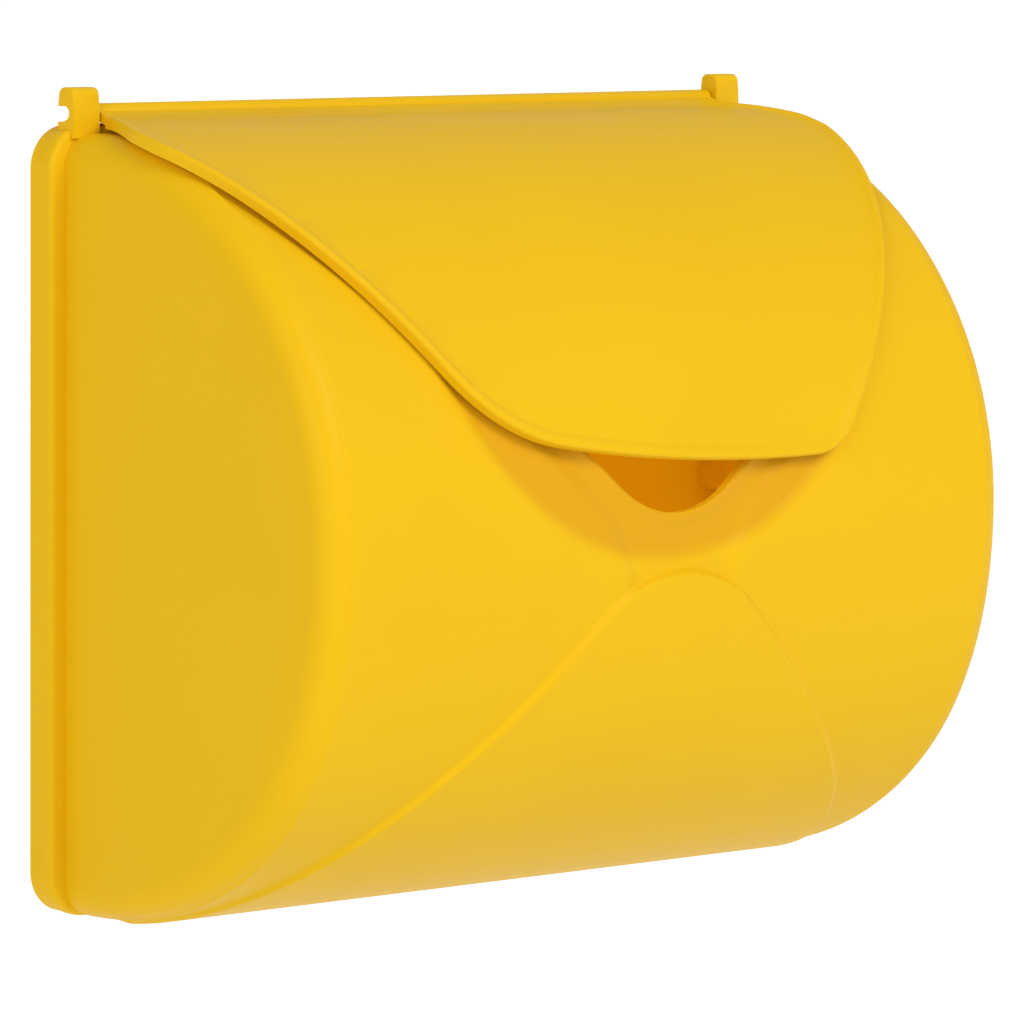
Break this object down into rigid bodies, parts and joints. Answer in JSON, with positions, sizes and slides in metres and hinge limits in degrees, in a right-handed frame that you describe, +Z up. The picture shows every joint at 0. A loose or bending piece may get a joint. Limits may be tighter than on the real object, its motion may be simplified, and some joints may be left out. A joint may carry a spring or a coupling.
{
  "type": "mailbox",
  "caption": "Half-round wall mailbox of moulded plastic with an envelope in relief on its front and a lid that hinges on hooks at the top.",
  "frame": {"origin": "middle of the flat back face that lies on the wall", "axes": "+X along the width and the lid's hinge, -Y out of the front, +Z up; the back face is the plane Y = 0"},
  "size_m": [0.2596, 0.1205, 0.2238],
  "materials": {
    "yellow_plastic": "satin",
    "screw_steel": "zinc plated"
  },
  "bodies": {
    "box": {"box_shell": "yellow_plastic", "back_plate": "yellow_plastic", "plate_screw_1": "screw_steel", "plate_screw_2": "screw_steel", "plate_screw_3": "screw_steel", "plate_screw_4": "screw_steel", "plate_screw_5": "screw_steel", "plate_screw_6": "screw_steel"},
    "lid": {"lid": "yellow_plastic"}
  },
  "joints": [
    {"name": "lid_hinge", "type": "hinge", "parent": "box", "child": "lid", "pos_m": [0, -0.0068, 0.1094], "axis": [-1, 0, 0], "range_deg": [0, 108]}
  ]
}
